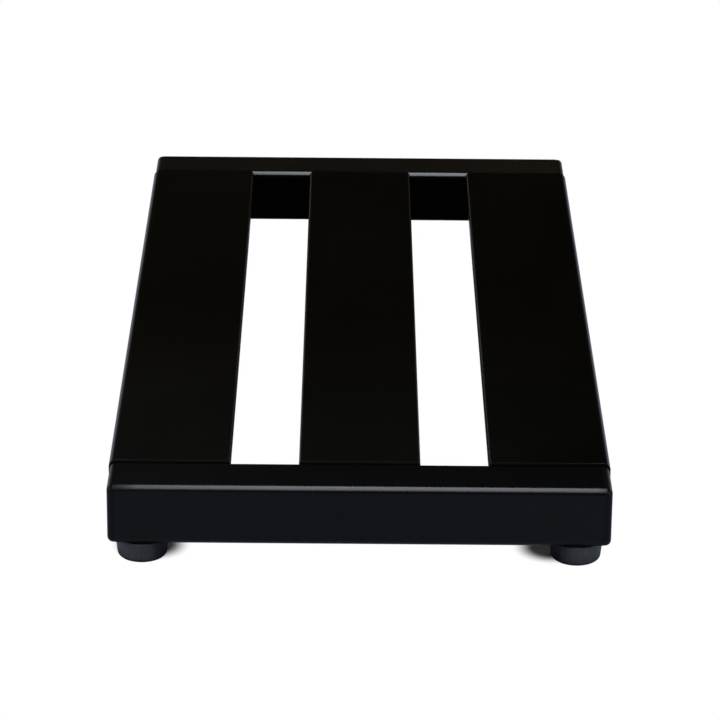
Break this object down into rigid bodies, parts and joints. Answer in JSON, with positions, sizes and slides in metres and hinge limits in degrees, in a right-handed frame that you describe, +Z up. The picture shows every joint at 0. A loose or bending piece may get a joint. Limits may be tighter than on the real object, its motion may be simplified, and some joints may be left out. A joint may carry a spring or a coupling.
{
  "type": "pedalboard",
  "caption": "Flat black pedalboard frame: channel rails welded between square end tubes, with plugged ends, standing on screwed rubber feet.",
  "frame": {"origin": "on the floor under the middle of the board, at the bottom centre of its box", "axes": "+Y along the rails from the front end tube to the rear one, +X across the rails to the right, +Z up"},
  "size_m": [0.2032, 0.4064, 0.0358],
  "materials": {
    "frame_coat": "satin black powder coat on aluminium tube",
    "rail_coat": "satin black powder coat on aluminium channel",
    "cap_plastic": "fine moulded grain",
    "foot_rubber": "moulded matte rubber",
    "plated_steel": "zinc plated"
  },
  "bodies": {
    "root": {"front_end_tube": "frame_coat", "rear_end_tube": "frame_coat", "left_rail": "rail_coat", "centre_rail": "rail_coat", "right_rail": "rail_coat", "front_left_end_cap": "cap_plastic", "front_right_end_cap": "cap_plastic", "rear_left_end_cap": "cap_plastic", "rear_right_end_cap": "cap_plastic", "front_left_foot": "foot_rubber", "front_right_foot": "foot_rubber", "rear_left_foot": "foot_rubber", "rear_right_foot": "foot_rubber", "front_left_foot_washer": "plated_steel", "front_right_foot_washer": "plated_steel", "rear_left_foot_washer": "plated_steel", "rear_right_foot_washer": "plated_steel", "front_left_foot_screw": "plated_steel", "front_right_foot_screw": "plated_steel", "rear_left_foot_screw": "plated_steel", "rear_right_foot_screw": "plated_steel", "front_left_weld": "frame_coat", "front_centre_weld": "frame_coat", "front_right_weld": "frame_coat", "rear_left_weld": "frame_coat", "rear_centre_weld": "frame_coat", "rear_right_weld": "frame_coat"}
  },
  "joints": []
}
